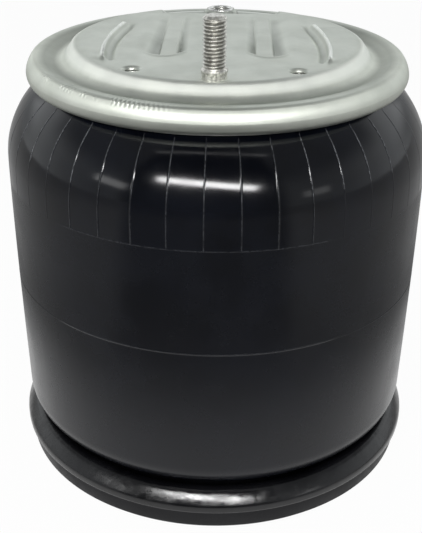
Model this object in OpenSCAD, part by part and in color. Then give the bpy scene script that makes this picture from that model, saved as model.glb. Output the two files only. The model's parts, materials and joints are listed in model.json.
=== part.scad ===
// Rolling lobe air spring: a stamped top plate is crimped over a rubber sleeve, and the sleeve
// rolls down over the wall of a flared piston. Sizes are in millimetres, +Z is up, and the
// origin is the centre of the base's underside.

/* [Standing height] */
// Height from the base to the crest of the rolled rim, as the spring stands
stand_h = 260.5; // [252:0.5:300]
// Travel left from the standing height down to the bumper
travel_down = 4; // [2:0.5:4]
// Air left between the bumper and the plate at the bottom of the travel
bumper_gap = 0.5; // [0.3:0.1:2]

/* [Top plate] */
// Diameter over the rolled rim
plate_d = 229; // [222:1:234]
// Thickness of the plate's steel sheet
plate_t = 2.5; // [1.8:0.1:3]
// Outer radius of the rolled rim's section
rim_r = 8; // [7:0.1:9]
// Angle below level at which the rolled rim ends, on its outer side
rim_lip_a = 60; // [40:1:70]
// Steepness of the rim's inner side where it runs into the groove
rim_in_a = 35; // [25:1:45]
// Radius of the groove between the rim and the raised platform
groove_r = 8; // [6:0.5:10]
// Steepness of the platform's side
platform_a = 55; // [45:1:70]
// Height of the platform above the crest of the rim
platform_rise = 6.5; // [5:0.5:10]
// Radius of the platform's edge
platform_edge_r = 4; // [3.5:0.5:5]

/* [Ribs and pads] */
// Distance from the middle of the plate to the middle of a rib
rib_x = 29.4; // [26:0.1:33]
// Width of a rib at its foot
rib_w = 17; // [14:0.5:20]
// Height of the ribs
rib_h = 3.5; // [3:0.5:4.5]
// Front end of the ribs
rib_front_y = -24; // [-35:1:-10]
// Back end of the ribs
rib_back_y = 66; // [50:1:66]
// Distance from the middle of the plate to the inner edge of a side pad
pad_x = 59; // [55:1:64]
// Radius of a pad's inner edge
pad_edge_r = 230; // [150:5:400]
// Radius that rounds a pad's ends
pad_end_r = 46; // [42:1:50]
// Place of the pads along the plate, from front to back
pad_y = 6; // [0:1:10]
// Height of the side pads
pad_h = 3.5; // [3:0.5:5]

/* [Stud, nuts and inlet] */
// How far inside the platform's edge the stud, the blind nuts and the inlet stand
fix_in = 5.8; // [5:0.1:10]
// Angle from the stud to each blind nut
blind_nut_a = 35.3; // [30:0.1:50]
// Diameter of the stud's thread
stud_d = 12.7; // [10:0.1:13]
// Height of the stud above the platform
stud_h = 33; // [25:1:60]
// Diameter of the stud's plain shoulder in the plate
stud_shoulder_d = 13.8; // [13.2:0.1:14]
// Height of the shoulder above the platform
stud_shoulder_h = 3.2; // [2:0.2:5]
// Diameter of the ring above the shoulder
stud_ring_d = 14.6; // [14:0.1:15]
// Height of that ring
stud_ring_h = 1.8; // [1:0.1:3]
// Chamfer at the stud's tip
stud_chamfer = 1.4; // [0.5:0.1:2]
// Height of the stud's upset foot under the plate
stud_foot_h = 2.4; // [1.5:0.1:4]
// Outer diameter of a blind nut
blind_nut_d = 14; // [12:0.5:14]
// Bore of a blind nut, at the crests of its thread
blind_bore_d = 8; // [6.5:0.1:9]
// Height of a blind nut under the plate
blind_nut_h = 16; // [12:0.5:20]
// Depth of a blind nut's bore
blind_bore_h = 13; // [8:0.5:14]
// Width of the dimple round a blind nut's mouth
dimple_w = 1.6; // [1:0.1:2]
// Outer diameter of the inlet bush
inlet_d = 17; // [15:0.5:18]
// Bore of the inlet bush, at the crests of its thread
inlet_bore_d = 11.2; // [9:0.1:12]
// Length of the inlet bush under the platform's top
inlet_drop = 13; // [8:1:16]
// Depth of the recess in which the inlet's boss stands, at the back of the platform
recess_h = 3; // [2:0.1:3.4]
// Width of that recess
recess_w = 76; // [60:1:90]
// Front end of the recess
recess_y = 69; // [66:1:72]
// Height of the inlet's boss above the recess
inlet_boss_h = 3.4; // [2:0.1:5]
// Diameter of the boss at its top
inlet_boss_d = 20; // [19:0.5:22]
// Width that the boss gains from its top to its foot
inlet_boss_flare = 3.5; // [2:0.5:4]
// Height that the bush stands above its boss
inlet_stand = 0.6; // [0.2:0.1:2]

/* [Sleeve] */
// Largest outer diameter of the sleeve
sleeve_d = 257.8; // [254:0.2:260]
// Outer diameter of the sleeve just above its fold
sleeve_low_d = 252.8; // [250:0.2:254]
// Thickness of the rubber and its cords
sleeve_t = 6; // [4:0.5:7]
// Radius of the sleeve's shoulder under the plate
neck_r = 54; // [45:1:60]
// How far outside the bead's centre the shoulder ends
neck_lead = 4.5; // [4:0.1:5.5]
// How far below the bead's centre the shoulder ends
neck_drop = 12.4; // [11:0.1:14]
// Diameter of the upper bead's wire bundle
upper_wire_d = 5; // [3:0.5:7]
// Radius of the lower bead
lower_bead_r = 7; // [6:0.5:8]
// How far inside the crown's edge the middle of the lower bead stands
lower_bead_in = 14; // [10:1:16]
// Diameter of the lower bead's wire bundle
lower_wire_d = 6; // [4:0.5:8]

/* [Piston] */
// Height of the piston's crown above the base
piston_h = 172; // [160:1:180]
// Outer radius of the piston's wall
piston_r = 92; // [88:0.5:96]
// Radius of the crown's outer edge
crown_r = 20; // [14:1:24]
// Thickness of the piston's sheet
shell_t = 3; // [2:0.1:4]
// How far the piston's flared foot stands out past the sleeve above its fold
flange_out = 3.6; // [2:0.1:6]
// Radius of the flare's hip, where it is widest, and of its shoulder, where it is highest
shoulder_r = 5; // [4:0.5:6]
// Height of the upright brim below the hip
brim_h = 0.6; // [0.4:0.1:2]
// Length of the straight skirt between the hip and the shoulder
skirt_l = 6.8; // [5:0.1:10]
// Lean of the skirt
skirt_a = 36; // [30:1:42]
// Slope of the flare's inner side
flare_a = 45; // [40:1:50]
// Radius of the gutter between the flare and the wall
gutter_r = 14; // [10:0.5:15]
// Least room between the gutter's bottom and the turned-in foot below it
gutter_room = 3; // [2:0.5:4]
// Inside radius of the edge where the foot turns in under the brim
flange_edge_r = 0.5; // [0.5:0.1:2]
// Air between the flare and the sleeve's fold, as the spring stands
lobe_gap = 2.1; // [2:0.1:4]

/* [Base] */
// How far the base ring stands in from the flare's brim
base_in = 3; // [1:0.5:6]
// Height of the base ring
base_h = 14; // [10:0.5:18]
// Width of the base ring
base_ring_w = 12.5; // [8:0.5:18]
// Thickness of the base's floor
base_t = 5; // [4:0.5:7]
// Chamfer at the foot of the base ring
base_chamfer = 3; // [0.5:0.1:4]
// Radius of the bolt circle in the base
bolt_circle_r = 63.5; // [55:0.5:72]
// Number of threaded holes in the base
bolt_count = 4; // [2:1:4]
// Bore of a base nut, at the crests of its thread
base_bore_d = 10.7; // [8:0.1:12]
// Diameter of a base nut's pilot, which fills its hole in the floor
nut_pilot_d = 17; // [15:0.5:19]
// Width across the flats of a base nut
nut_flats = 22; // [20:1:25]
// Height of a base nut above the floor
nut_h = 12; // [8:1:16]

/* [Inside the piston] */
// Outer radius of the support column
column_r = 34; // [30:1:40]
// Thickness of the column's wall
column_t = 3; // [2:0.5:5]
// Thickness of a stiffener plate
stiffener_t = 4; // [3:0.5:6]
// Height of the stiffeners at the column
stiffener_h = 90; // [50:1:140]
// Height of the stiffeners at the piston's wall
stiffener_low_h = 26; // [10:1:40]

/* [End closure and bumper] */
// Thickness of the closure's disc
closure_t = 5; // [4.5:0.1:7]
// Thickness of the closure's rolled rim
closure_rim_t = 3; // [2:0.5:3.5]
// Diameter of the piston bolt
bolt_d = 16; // [12:1:18]
// Width across the flats of the piston bolt's head and nut
bolt_flats = 24; // [21:1:27]
// Height of the bolt's head
bolt_head_h = 10; // [7:0.5:12]
// Height of the nut under the crown
piston_nut_h = 13; // [9:0.5:16]
// Length of the bolt below its nut
bolt_tail = 3; // [1:0.5:10]
// Diameter of the washer
washer_d = 30; // [28:1:34]
// Thickness of the washer
washer_t = 3; // [2:0.5:4]
// Thickness of the seal ring's cord
seal_d = 3.2; // [2.4:0.1:3.6]
// Radius of the seal ring to the middle of its cord
seal_r = 16; // [14.5:0.5:24]
// Height of the retainer's hub, and of the bumper lip round it
lip_h = 6; // [4:0.5:10]
// Radius of the retainer's hub
hub_r = 17.5; // [16:0.5:19]
// Radius of the retainer's flange over the lip
retainer_r = 24; // [22:0.5:25]
// Thickness of the retainer's flange
retainer_t = 3; // [2:0.5:5]
// Room between the bumper's foot and the closure's rolled rim
bumper_room = 5.9; // [3:0.1:10]
// Height of the bumper's foot
bumper_foot_h = 11; // [8:1:14]
// Radius of the bumper's waist
bumper_waist_r = 35; // [32:1:38]
// Radius of the bumper's head
bumper_head_r = 39; // [36:1:42]
// Height of the bumper's head
bumper_head_h = 26; // [20:1:30]
// Room in the bumper's hollow round the retainer's flange
hollow_room = 2; // [1.5:0.5:4]
// Air between the bolt's head and the roof of the hollow
hollow_clear = 7; // [4:1:12]

/* [Hidden] */
$fn = 96;
steps = 12;
// Clearance of a bead in its rolled rim, and of a shank in its hole
bead_fit = 0.1;
hole_fit = 0.5;
// Clearance between pieces that move apart
body_gap = 0.3;
slide_gap = 0.4;
over = 1;

// Rolled rim, groove and platform of the top plate
rim_c = [plate_d / 2 - rim_r, stand_h - rim_r];
groove_c = rim_c + (rim_r + groove_r) * [-sin(rim_in_a), cos(rim_in_a)];
floor_z = stand_h + platform_rise;
under_z = floor_z - plate_t;
slope_foot = groove_c + groove_r * [-sin(platform_a), -cos(platform_a)];
edge_z = floor_z - platform_edge_r;
slope_top_z = edge_z + platform_edge_r * cos(platform_a);
edge_x = slope_foot[0] - (slope_top_z - slope_foot[1]) / tan(platform_a)
    - platform_edge_r * sin(platform_a);
fix_r = edge_x - fix_in;
recess_z = floor_z - recess_h;
boss_z = recess_z + inlet_boss_h;

// Fold of the sleeve, which lies between the sleeve's wall and the piston's wall
low_r = sleeve_low_d / 2;
fold_r = (low_r - piston_r - slide_gap) / 2;
fold_x = low_r - fold_r;

// Piston flare, and the gutter between it and the wall, rounded as far as there is room.
// A wide gutter that would reach the foot gets a flat bottom, gutter_flat wide.
flange_r = low_r + flange_out;
brim_z = base_h + shell_t + flange_edge_r;
hip_c = [flange_r - shoulder_r, brim_z + brim_h];
shoulder_c = hip_c + skirt_l * [-sin(skirt_a), cos(skirt_a)];
flare_top = shoulder_c + shoulder_r * [-sin(flare_a), cos(flare_a)];
gutter_fit_r = min(gutter_r, fold_r - lobe_gap,
    (flare_top[0] - piston_r) / (1 + sin(flare_a)));
gutter_x = piston_r + gutter_fit_r;
gutter_end_x = gutter_x + gutter_fit_r * sin(flare_a);
round_gutter_z = flare_top[1] - (flare_top[0] - gutter_end_x) * tan(flare_a)
    + gutter_fit_r * cos(flare_a);
gutter_z = max(round_gutter_z, base_h + shell_t + gutter_room + gutter_fit_r);
gutter_flat = (gutter_z - round_gutter_z) / tan(flare_a);
base_r = flange_r - base_in;
ring_in_r = base_r - base_ring_w;

// Height of the fold: it clears the shoulder, or the flare's slope where that is nearer
fold_reach = fold_r + lobe_gap;
over_shoulder = fold_x > flare_top[0] - fold_reach * sin(flare_a);
fold_z = over_shoulder
    ? shoulder_c[1] + sqrt(pow(fold_reach + shoulder_r, 2) - pow(shoulder_c[0] - fold_x, 2))
    : flare_top[1] + (fold_reach - (flare_top[0] - fold_x) * sin(flare_a)) / cos(flare_a);
wall_z = fold_z + body_gap;

// Shoulder of the sleeve and its upper bead
max_r = sleeve_d / 2;
neck_x = max_r - neck_r;
neck_a = acos((rim_c[0] + neck_lead - neck_x) / neck_r);
neck_z = rim_c[1] - neck_drop - neck_r * sin(neck_a);
upper_bead_r = rim_r - plate_t - bead_fit;

// Closure, bolt and bumper, stacked on the crown
lower_bead_x = piston_r - crown_r - lower_bead_in;
lower_bead_c = [lower_bead_x, piston_h + lower_bead_r];
closure_disc_r = lower_bead_x - lower_bead_r - bead_fit;
closure_z = piston_h + closure_t;
retainer_z = closure_z + lip_h;
washer_z = retainer_z + retainer_t;
head_z = washer_z + washer_t;
hollow_top_z = head_z + bolt_head_h + hollow_clear;
hollow_r = retainer_r + hollow_room;
bumper_foot_r = closure_disc_r - bumper_room;
bumper_z = under_z - travel_down - bumper_gap;
crown_under_z = piston_h - shell_t;
nut_foot_z = crown_under_z - piston_nut_h;
bolt_hole_r = bolt_d / 2 + hole_fit;

// Colours
c_galvanised = [0.72, 0.74, 0.72];
c_zinc = [0.78, 0.77, 0.72];
c_rubber = [0.06, 0.06, 0.07];
c_bumper = [0.16, 0.15, 0.14];
c_gloss_black = [0.05, 0.05, 0.055];
c_matt_black = [0.1, 0.1, 0.1];
c_steel = [0.5, 0.5, 0.52];

function flip(p) = [for (i = [len(p) - 1:-1:0]) p[i]];

// Points on an arc about c, from angle a to angle b in n steps
function arc(c, r, a, b, n = steps) =
    [for (i = [0:n]) c + r * [cos(a + (b - a) * i / n), sin(a + (b - a) * i / n)]];

// Points on a quadratic curve from a to b, drawn towards k
function bend(a, k, b) =
    [for (i = [1:steps]) let (t = i / steps) pow(1 - t, 2) * a + 2 * t * (1 - t) * k + t * t * b];

// Unit vector to the left of a path at point i; it is level at the path's start
function left_of(p, i) =
    let (d = p[min(i + 1, len(p) - 1)] - p[max(i - 1, 0)])
    i == 0 ? [-1, 0] : [-d[1], d[0]] / norm(d);

// The path moved to its left by t
function moved(p, t) = [for (i = [0:len(p) - 1]) p[i] + t * left_of(p, i)];

// The plate's section from the lip of its rim to its middle, k below its top surface
function plate_path(k) = concat(
    arc(rim_c, rim_r - k, -rim_lip_a, 90 + rim_in_a),
    arc(groove_c, groove_r + k, rim_in_a - 90, -90 - platform_a),
    arc([edge_x, edge_z], platform_edge_r - k, 90 - platform_a, 90),
    [[0, floor_z - k]]);

// The piston shell's section from its turned-in foot to the crown's hole, k inside its outer face
function shell_path(k) = concat(
    [[ring_in_r, base_h + k]],
    arc([flange_r - shell_t - flange_edge_r, brim_z], shell_t + flange_edge_r - k, -90, 0),
    arc(hip_c, shoulder_r - k, 0, skirt_a),
    arc(shoulder_c, shoulder_r - k, skirt_a, 90 + flare_a),
    gutter_flat > 0
        ? arc([gutter_x + gutter_flat, gutter_z], gutter_fit_r + k, flare_a - 90, -90) : [],
    arc([gutter_x, gutter_z], gutter_fit_r + k, gutter_flat > 0 ? -90 : flare_a - 90, -180),
    arc([piston_r - crown_r, piston_h - crown_r], crown_r - k, 0, 90),
    [[bolt_hole_r, piston_h - k]]);

// The sleeve's outer face from just above its fold up into the rolled rim
function sleeve_path() =
    let (e = arc([neck_x, neck_z], neck_r, 0, neck_a))
    let (top = e[steps])
    let (goal = rim_c + [upper_bead_r, -upper_bead_r] * 0.4)
    let (k_x = goal[0] - 1.2)
    let (k_z = top[1] + (top[0] - k_x) / tan(neck_a))
    concat(
        [for (i = [0:steps]) [low_r + (max_r - low_r) * sin(90 * i / steps),
            wall_z + (neck_z - wall_z) * i / steps]],
        [for (i = [1:steps]) e[i]],
        bend(top, [k_x, k_z], goal));

// Places one blind nut; side is -1 on the left and 1 on the right
module at_blind_nut(side) {
    rotate([0, 0, side * blind_nut_a])
        translate([0, -fix_r, 0])
            children();
}

// A bar with sloping sides and ends, its top at the given height and open ground below
module rib_bar(x, lift) {
    half = rib_w / 2;
    top = half - rib_h;
    z = floor_z + lift;
    intersection() {
        translate([x, rib_back_y, z])
            rotate([90, 0, 0])
                linear_extrude(rib_back_y - rib_front_y)
                    polygon([[-half, -over - plate_t], [half, -over - plate_t], [half, 0],
                        [top, rib_h], [-top, rib_h], [-half, 0]]);
        translate([x - rib_w, 0, z])
            rotate([90, 0, 90])
                linear_extrude(2 * rib_w)
                    polygon([[rib_front_y, -over - plate_t], [rib_back_y, -over - plate_t],
                        [rib_back_y, 0], [rib_back_y - rib_h, rib_h],
                        [rib_front_y + rib_h, rib_h], [rib_front_y, 0]]);
    }
}

// A raised segment at the side of the platform; side is -1 on the left and 1 on the right
module side_pad(side, lift) {
    translate([0, 0, floor_z + lift])
        intersection() {
            pad_round(edge_x);
            translate([side * (pad_x + pad_edge_r), pad_y, 0])
                pad_round(pad_edge_r);
            translate([side * pad_x, pad_y, 0])
                pad_round(pad_end_r);
        }
}

// A disc whose side leans in over the pad's height, with a straight root below
module pad_round(r) {
    translate([0, 0, -over - plate_t])
        cylinder(r = r, h = over + plate_t);
    cylinder(r1 = r, r2 = r - pad_h, h = pad_h);
}

module pressings(lift) {
    for (side = [-1, 1]) {
        rib_bar(side * rib_x, lift);
        side_pad(side, lift);
    }
}

// The back segment of a disc between two heights, grown by a margin on its straight sides
module back_segment(r, margin, low_z, high_z) {
    intersection() {
        translate([0, 0, low_z])
            cylinder(r = r, h = high_z - low_z);
        translate([-recess_w / 2 - margin, recess_y - margin, low_z])
            cube([recess_w + 2 * margin, edge_x, high_z - low_z]);
    }
}

// The plate before its recess is cut: the ribs and pads stand on it, and the recess has its
// floor and walls under it
module pressed_plate() {
    recess_under_z = recess_z - plate_t;
    rotate_extrude()
        polygon(concat(plate_path(0), flip(plate_path(plate_t))));
    intersection() {
        pressings(0);
        translate([0, 0, under_z])
            cylinder(r = edge_x, h = pad_h + rib_h + plate_t);
    }
    back_segment(slope_foot[0] - plate_t, plate_t, recess_under_z, recess_z);
    back_segment(edge_x, plate_t, recess_under_z, floor_z);
}

// Stamped plate: rolled rim, groove and platform, with ribs and pads pressed up, and a recess
// pressed down at the back, where the inlet's boss stands
module bead_plate() {
    boss_foot_z = slope_foot[1] - plate_t / 2;
    mouth_r = blind_bore_d / 2 + hole_fit;
    color(c_galvanised)
        difference() {
            union() {
                difference() {
                    pressed_plate();
                    back_segment(slope_foot[0], 0, recess_z, floor_z + over);
                }
                translate([0, fix_r, boss_foot_z])
                    cylinder(r1 = inlet_boss_d / 2 + inlet_boss_flare, r2 = inlet_boss_d / 2,
                        h = boss_z - boss_foot_z);
            }
            pressings(-plate_t);
            translate([0, fix_r, boss_foot_z - over])
                cylinder(d = inlet_d, h = boss_z - boss_foot_z + 2 * over);
            translate([0, -fix_r, under_z - over])
                cylinder(d = stud_shoulder_d, h = plate_t + 2 * over);
            translate([0, -fix_r, under_z - stud_foot_h])
                cylinder(d = stud_ring_d, h = stud_foot_h);
            for (side = [-1, 1])
                at_blind_nut(side) {
                    translate([0, 0, under_z - over])
                        cylinder(r = mouth_r, h = plate_t + over);
                    translate([0, 0, floor_z - dimple_w])
                        cylinder(r1 = mouth_r, r2 = mouth_r + dimple_w, h = dimple_w);
                    translate([0, 0, under_z - blind_nut_h])
                        cylinder(d = blind_nut_d, h = blind_nut_h);
                }
        }
}

module mounting_stud() {
    ring_z = floor_z + stud_shoulder_h;
    thread_z = ring_z + stud_ring_h;
    tip_z = floor_z + stud_h;
    color(c_zinc)
        translate([0, -fix_r, 0]) {
            translate([0, 0, under_z - stud_foot_h])
                cylinder(d = stud_ring_d, h = stud_foot_h);
            translate([0, 0, under_z])
                cylinder(d = stud_shoulder_d, h = ring_z - under_z);
            translate([0, 0, ring_z])
                cylinder(d = stud_ring_d, h = stud_ring_h);
            translate([0, 0, thread_z])
                cylinder(d = stud_d, h = tip_z - stud_chamfer - thread_z);
            translate([0, 0, tip_z - stud_chamfer])
                cylinder(d1 = stud_d, d2 = stud_d - 2 * stud_chamfer, h = stud_chamfer);
        }
}

module blind_nut(side) {
    color(c_zinc)
        at_blind_nut(side)
            translate([0, 0, under_z - blind_nut_h])
                difference() {
                    cylinder(d = blind_nut_d, h = blind_nut_h);
                    translate([0, 0, blind_nut_h - blind_bore_h])
                        cylinder(d = blind_bore_d, h = blind_bore_h + over);
                }
}

module blind_nut_left() {
    blind_nut(-1);
}

module blind_nut_right() {
    blind_nut(1);
}

// Threaded bush that stands in the plate's boss and carries the air fitting
module air_inlet() {
    foot_z = floor_z - inlet_drop;
    top_z = boss_z + inlet_stand;
    color(c_zinc)
        translate([0, fix_r, foot_z])
            difference() {
                cylinder(d = inlet_d, h = top_z - foot_z);
                translate([0, 0, -over])
                    cylinder(d = inlet_bore_d, h = top_z - foot_z + 2 * over);
            }
}

module ring(c, r) {
    rotate_extrude()
        translate(c)
            circle(r);
}

module upper_bead_wire() {
    color(c_steel)
        ring(rim_c, upper_wire_d / 2);
}

// The sleeve from just above its fold to the bead in the rolled rim
module sleeve_outer_wall() {
    color(c_rubber)
        difference() {
            rotate_extrude() {
                polygon(concat(sleeve_path(), flip(moved(sleeve_path(), sleeve_t))));
                translate(rim_c)
                    circle(upper_bead_r);
            }
            ring(rim_c, upper_wire_d / 2 + bead_fit);
        }
}

// The fold in which the sleeve turns from its outer wall to the piston's wall
module rolling_lobe() {
    color(c_rubber)
        rotate_extrude()
            translate([fold_x, fold_z])
                difference() {
                    circle(fold_r);
                    circle(fold_r - sleeve_t);
                    translate([-2 * fold_r, 0])
                        square([4 * fold_r, 2 * fold_r]);
                }
}

// The sleeve on the piston's wall and crown, with the bead that the closure grips
module sleeve_inner_wall() {
    crown_c = [piston_r - crown_r, piston_h - crown_r];
    back_a = asin((sleeve_t - lower_bead_r) / lower_bead_r) - 360;
    color(c_rubber)
        difference() {
            rotate_extrude()
                polygon(concat(
                    [[piston_r, wall_z]],
                    arc(crown_c, crown_r, 0, 90),
                    arc(lower_bead_c, lower_bead_r, -90, back_a, 2 * steps),
                    arc(crown_c, crown_r + sleeve_t, 90, 0),
                    [[piston_r + sleeve_t, wall_z]]));
            ring(lower_bead_c, lower_wire_d / 2 + bead_fit);
        }
}

module lower_bead_wire() {
    color(c_steel)
        ring(lower_bead_c, lower_wire_d / 2);
}

// Steel disc whose rim rolls over the lower bead and holds it down on the crown
module end_closure() {
    in_r = lower_bead_r + bead_fit;
    out_r = in_r + closure_rim_t;
    foot_a = 180 + asin((lower_bead_r - hole_fit) / out_r);
    lip_a = 60;
    color(c_steel)
        difference() {
            union() {
                translate([0, 0, piston_h])
                    cylinder(r = closure_disc_r, h = closure_t);
                rotate_extrude()
                    polygon(concat(
                        arc(lower_bead_c, out_r, lip_a, foot_a),
                        arc(lower_bead_c, in_r, foot_a, lip_a)));
            }
            translate([0, 0, piston_h - over])
                cylinder(r = bolt_hole_r, h = closure_t + 2 * over);
            translate([0, 0, piston_h - over])
                seal_groove(seal_d + over);
        }
}

module seal_groove(depth) {
    half = seal_d / 2 + bead_fit;
    difference() {
        cylinder(r = seal_r + half, h = depth);
        translate([0, 0, -over])
            cylinder(r = seal_r - half, h = depth + 2 * over);
    }
}

module closure_seal() {
    color(c_rubber)
        ring([seal_r, piston_h + seal_d / 2], seal_d / 2);
}

// Rubber stop, snapped over the retainer's flange
module bumper() {
    waist_r = (bumper_head_r - bumper_waist_r) * 2;
    head_foot_z = bumper_z - bumper_head_h;
    foot_top_z = closure_z + bumper_foot_h;
    crown_round = bumper_head_h / 2;
    color(c_bumper)
        difference() {
            rotate_extrude()
                polygon(concat(
                    [[0, closure_z], [bumper_foot_r, closure_z], [bumper_foot_r, foot_top_z]],
                    bend([bumper_foot_r, foot_top_z], [bumper_waist_r, foot_top_z + waist_r],
                        [bumper_waist_r, head_foot_z - waist_r]),
                    bend([bumper_waist_r, head_foot_z - waist_r],
                        [bumper_waist_r, head_foot_z], [bumper_head_r, head_foot_z]),
                    arc([bumper_head_r - crown_round, bumper_z - crown_round], crown_round, 0, 90),
                    [[0, bumper_z]]));
            translate([0, 0, closure_z - over])
                cylinder(r = hub_r + bead_fit, h = lip_h + 2 * over);
            translate([0, 0, retainer_z])
                cylinder(r = hollow_r, h = hollow_top_z - retainer_z);
        }
}

module bumper_retainer() {
    color(c_steel)
        difference() {
            union() {
                translate([0, 0, closure_z])
                    cylinder(r = hub_r, h = lip_h);
                translate([0, 0, retainer_z])
                    cylinder(r = retainer_r, h = retainer_t);
            }
            translate([0, 0, closure_z - over])
                cylinder(r = bolt_hole_r, h = lip_h + retainer_t + 2 * over);
        }
}

module bolt_washer() {
    color(c_zinc)
        translate([0, 0, washer_z])
            difference() {
                cylinder(d = washer_d, h = washer_t);
                translate([0, 0, -over])
                    cylinder(r = bolt_hole_r, h = washer_t + 2 * over);
            }
}

// A six-sided block, measured across its flats
module hexagon(flats, h) {
    cylinder(d = flats / cos(30), h = h, $fn = 6);
}

module piston_bolt() {
    tail_z = nut_foot_z - bolt_tail;
    color(c_zinc) {
        translate([0, 0, head_z])
            hexagon(bolt_flats, bolt_head_h);
        translate([0, 0, tail_z])
            cylinder(d = bolt_d, h = head_z - tail_z);
    }
}

module piston_nut() {
    color(c_zinc)
        translate([0, 0, nut_foot_z])
            difference() {
                hexagon(bolt_flats, piston_nut_h);
                translate([0, 0, -over])
                    cylinder(r = bolt_d / 2 + bead_fit, h = piston_nut_h + 2 * over);
            }
}

// Drawn steel shell: turned-in foot, flare, gutter, wall and crown
module piston_shell() {
    color(c_gloss_black)
        rotate_extrude()
            polygon(concat(shell_path(0), flip(shell_path(shell_t))));
}

module support_column() {
    color(c_steel)
        translate([0, 0, base_t])
            difference() {
                cylinder(r = column_r, h = crown_under_z - base_t);
                translate([0, 0, -over])
                    cylinder(r = column_r - column_t, h = crown_under_z - base_t + 2 * over);
            }
}

// Four upright plates between the column and the piston's wall
module stiffener_plates() {
    out_r = piston_r - shell_t - hole_fit;
    color(c_steel)
        difference() {
            for (a = [0:90:270])
                rotate([90, 0, a])
                    translate([0, 0, -stiffener_t / 2])
                        linear_extrude(stiffener_t)
                            polygon([[column_r - over, base_t], [out_r, base_t],
                                [out_r, base_t + stiffener_low_h],
                                [column_r - over, base_t + stiffener_h]]);
            cylinder(r = column_r, h = piston_h);
        }
}

module at_base_nuts() {
    for (i = [0:bolt_count - 1])
        rotate([0, 0, 45 + 360 / bolt_count * i])
            translate([bolt_circle_r, 0, 0])
                children();
}

// Base: a floor with a ring round it that carries the shell's foot
module base_plate() {
    color(c_matt_black)
        difference() {
            rotate_extrude()
                polygon([[0, 0], [base_r - base_chamfer, 0], [base_r, base_chamfer],
                    [base_r, base_h], [ring_in_r, base_h], [ring_in_r, base_t],
                    [0, base_t]]);
            at_base_nuts()
                translate([0, 0, -over])
                    cylinder(d = nut_pilot_d, h = base_t + 2 * over);
        }
}

module base_weld_nuts() {
    color(c_zinc)
        at_base_nuts()
            difference() {
                union() {
                    cylinder(d = nut_pilot_d, h = base_t);
                    translate([0, 0, base_t])
                        hexagon(nut_flats, nut_h);
                }
                translate([0, 0, -over])
                    cylinder(d = base_bore_d, h = base_t + nut_h + 2 * over);
            }
}

bead_plate();
mounting_stud();
blind_nut_left();
blind_nut_right();
air_inlet();
upper_bead_wire();
sleeve_outer_wall();
rolling_lobe();
sleeve_inner_wall();
lower_bead_wire();
end_closure();
closure_seal();
bumper();
bumper_retainer();
bolt_washer();
piston_bolt();
piston_nut();
piston_shell();
support_column();
stiffener_plates();
base_plate();
base_weld_nuts();
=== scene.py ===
# %% [markdown]
# # A rolling lobe air spring
# A truck's frame rests on springs like this one. Air is trapped between a stamped top plate, a
# rubber sleeve and a steel piston. When the plate comes down, the sleeve rolls down over the
# piston's wall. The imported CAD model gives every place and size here, and this notebook dresses
# it: smooth surfaces worked out with numpy, and finishes made of shader nodes.

import json
from math import cos, radians, sin, tan

import bpy
import numpy as np
from mathutils import Matrix, Vector


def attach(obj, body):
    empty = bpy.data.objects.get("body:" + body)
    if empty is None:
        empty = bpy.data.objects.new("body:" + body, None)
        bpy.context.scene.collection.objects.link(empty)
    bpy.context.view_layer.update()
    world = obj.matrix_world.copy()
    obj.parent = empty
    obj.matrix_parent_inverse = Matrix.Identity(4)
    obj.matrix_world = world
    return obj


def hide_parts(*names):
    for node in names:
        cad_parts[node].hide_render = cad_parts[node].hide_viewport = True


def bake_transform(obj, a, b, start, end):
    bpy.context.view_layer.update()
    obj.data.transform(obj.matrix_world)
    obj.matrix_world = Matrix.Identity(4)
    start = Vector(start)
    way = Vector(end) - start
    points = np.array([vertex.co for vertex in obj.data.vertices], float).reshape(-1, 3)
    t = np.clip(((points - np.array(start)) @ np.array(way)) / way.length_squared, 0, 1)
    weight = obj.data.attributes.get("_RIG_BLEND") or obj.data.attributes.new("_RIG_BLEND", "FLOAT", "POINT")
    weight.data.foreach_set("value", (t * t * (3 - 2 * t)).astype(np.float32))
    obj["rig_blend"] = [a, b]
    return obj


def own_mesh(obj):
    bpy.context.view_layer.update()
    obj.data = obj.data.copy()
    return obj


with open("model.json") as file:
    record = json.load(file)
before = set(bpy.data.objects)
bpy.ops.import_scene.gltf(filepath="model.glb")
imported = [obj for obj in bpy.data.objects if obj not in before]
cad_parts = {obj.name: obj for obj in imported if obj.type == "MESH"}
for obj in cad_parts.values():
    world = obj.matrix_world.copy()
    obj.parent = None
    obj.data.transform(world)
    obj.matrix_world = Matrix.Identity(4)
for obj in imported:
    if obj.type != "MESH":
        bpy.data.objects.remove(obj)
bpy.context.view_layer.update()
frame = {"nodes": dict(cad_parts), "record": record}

# %% [markdown]
# ## The camera
# The photograph was taken from in front of the stud and about 27 degrees above. The camera's
# height, distance and lens were fitted to the rings of the plate, the sleeve and the piston,
# whose places in the picture depend on all three. A camera looks along its own -Z, so a turn of
# 62.8 degrees about X tips it up from straight down, and a small turn about its own axis levels it.
# The whole rig then swings 1.2 degrees about the spring's axis, towards +X.


# %% Camera
def into_scene(name, data):
    """A new object of that data, in the scene."""
    item = bpy.data.objects.new(name, data)
    bpy.context.scene.collection.objects.link(item)
    return item


SWING, TILT, ROLL = 1.2, 62.81, 0.55
camera = into_scene("camera", bpy.data.cameras.new("camera"))
swing = Matrix.Rotation(radians(SWING), 4, "Z")
tip = Matrix.Rotation(radians(TILT), 4, "X") @ Matrix.Rotation(radians(ROLL), 4, "Z")
camera.location = swing @ Vector((0.0, -0.6, 0.4217))
camera.rotation_euler = (swing @ tip).to_euler()
camera.data.lens = 68.19
camera.data.sensor_width = 36.0
camera.data.shift_x = -0.0086
camera.data.shift_y = 0.002
bpy.context.scene.camera = camera
print("camera looks down by", round(90 - TILT, 2), "degrees")

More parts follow.
